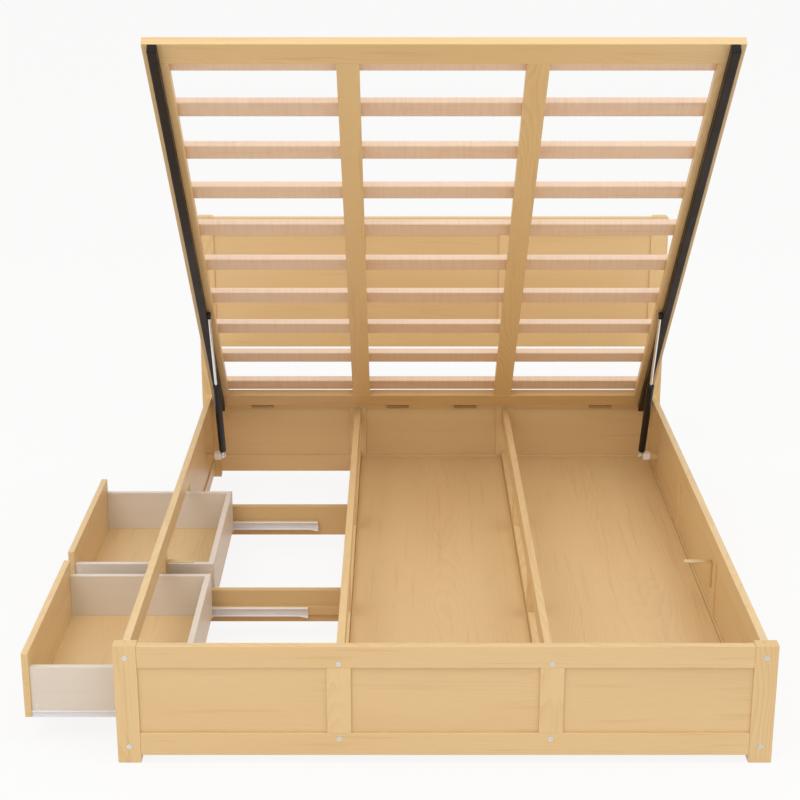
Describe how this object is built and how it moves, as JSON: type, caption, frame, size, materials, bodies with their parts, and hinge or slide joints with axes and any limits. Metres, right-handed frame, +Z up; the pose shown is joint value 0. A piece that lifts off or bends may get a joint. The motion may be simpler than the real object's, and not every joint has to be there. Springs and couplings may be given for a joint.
{
  "type": "tatami platform bed",
  "caption": "Pine platform bed with a gas-lifted slatted platform over divided storage, a panelled headboard and drawers in the left side.",
  "frame": {"origin": "on the floor, in the middle of the bed's box in plan with the drawers pulled out", "axes": "+X across the bed away from the drawers, +Y from the footboard to the headboard, +Z up"},
  "size_m": [1.876, 2.0596, 1.7108],
  "materials": {
    "pine": "satin clear lacquer",
    "pine_panel": "satin clear lacquer",
    "beech_slat": "planed, unfinished",
    "drawer_board": "matt foil",
    "black_steel": "satin black",
    "zinc_steel": "zinc plated",
    "slide_steel": "light grey coating",
    "chrome_rod": "polished",
    "hinge_brass": "antique brass plated"
  },
  "bodies": {
    "bed_box": {"foot_post_left": "pine", "foot_post_right": "pine", "foot_top_rail": "pine", "foot_bottom_rail": "pine", "foot_stiles": "pine", "foot_panels": "pine_panel", "head_post_left": "pine", "head_post_right": "pine", "headboard_top_rail": "pine", "headboard_bottom_rail": "pine", "headboard_stiles": "pine", "headboard_panels": "pine_panel", "head_frame_top_rail": "pine", "head_frame_bottom_rail": "pine", "head_frame_stiles": "pine", "head_frame_panels": "pine_panel", "right_top_rail": "pine", "right_bottom_rail": "pine", "right_stiles": "pine", "right_panels": "pine_panel", "left_top_rail": "pine", "left_sill_rail": "pine", "left_stiles": "pine", "left_filler_panel": "pine_panel", "divider_top_rails": "pine", "divider_bottom_rails": "pine", "divider_stiles": "pine", "floor_panels": "pine_panel", "inner_cleats": "pine", "drawer_cross_boards": "pine", "slide_packers": "pine", "slide_channels": "slide_steel", "support_brackets": "zinc_steel", "strut_mount_blocks": "slide_steel", "hinge_fixed_leaves": "hinge_brass", "hinge_pins": "zinc_steel", "frame_bolts": "zinc_steel", "barrel_nuts": "zinc_steel", "rail_screws": "zinc_steel"},
    "lift_frame": {"lift_foot_rail": "pine", "lift_head_rail": "pine", "lift_side_rails": "pine", "lift_mid_rails": "pine", "slats": "beech_slat", "steel_bars": "black_steel", "hinge_moving_leaves": "hinge_brass"},
    "gas_strut_left": {"gas_cylinder_left": "black_steel"},
    "strut_rod_left": {"piston_rod_left": "chrome_rod"},
    "gas_strut_right": {"gas_cylinder_right": "black_steel"},
    "strut_rod_right": {"piston_rod_right": "chrome_rod"},
    "front_drawer": {"front_drawer_front": "pine", "front_drawer_sides": "drawer_board", "front_drawer_back": "drawer_board", "front_drawer_bottom": "pine_panel", "front_drawer_runners": "slide_steel"},
    "back_drawer": {"back_drawer_front": "pine", "back_drawer_sides": "drawer_board", "back_drawer_back": "drawer_board", "back_drawer_bottom": "pine_panel", "back_drawer_runners": "slide_steel"}
  },
  "joints": [
    {"name": "lift_hinge", "type": "hinge", "parent": "bed_box", "child": "lift_frame", "pos_m": [0, 0.987, 0.27], "axis": [-1, 0, 0], "range_deg": [-46.25, 0], "stiffness_Nm_per_rad": 60, "springref_deg": 167.3},
    {"name": "front_drawer_slide", "type": "slide", "parent": "bed_box", "child": "front_drawer", "axis": [-1, 0, 0], "range_m": [-0.265, 0]},
    {"name": "back_drawer_slide", "type": "slide", "parent": "bed_box", "child": "back_drawer", "axis": [-1, 0, 0], "range_m": [-0.265, 0]},
    {"name": "left_strut_pivot", "type": "hinge", "parent": "bed_box", "child": "gas_strut_left", "pos_m": [-0.601, 0.791, 0.1555], "axis": [-1, 0, 0], "range_deg": [-53.05, 0]},
    {"name": "left_strut_slide", "type": "slide", "parent": "gas_strut_left", "child": "strut_rod_left", "axis": [0, -0.4364, 0.8998], "range_m": [-0.1655, 0]},
    {"name": "right_strut_pivot", "type": "hinge", "parent": "bed_box", "child": "gas_strut_right", "pos_m": [0.849, 0.791, 0.1555], "axis": [-1, 0, 0], "range_deg": [-53.05, 0]},
    {"name": "right_strut_slide", "type": "slide", "parent": "gas_strut_right", "child": "strut_rod_right", "axis": [0, -0.4364, 0.8998], "range_m": [-0.1655, 0]}
  ],
  "couplings": [
    {"joint": "left_strut_pivot", "follows": "lift_hinge", "ratio": 1.147},
    {"joint": "left_strut_slide", "follows": "lift_hinge", "m_per_rad": 0.20501},
    {"joint": "right_strut_pivot", "follows": "lift_hinge", "ratio": 1.147},
    {"joint": "right_strut_slide", "follows": "lift_hinge", "m_per_rad": 0.20501}
  ]
}
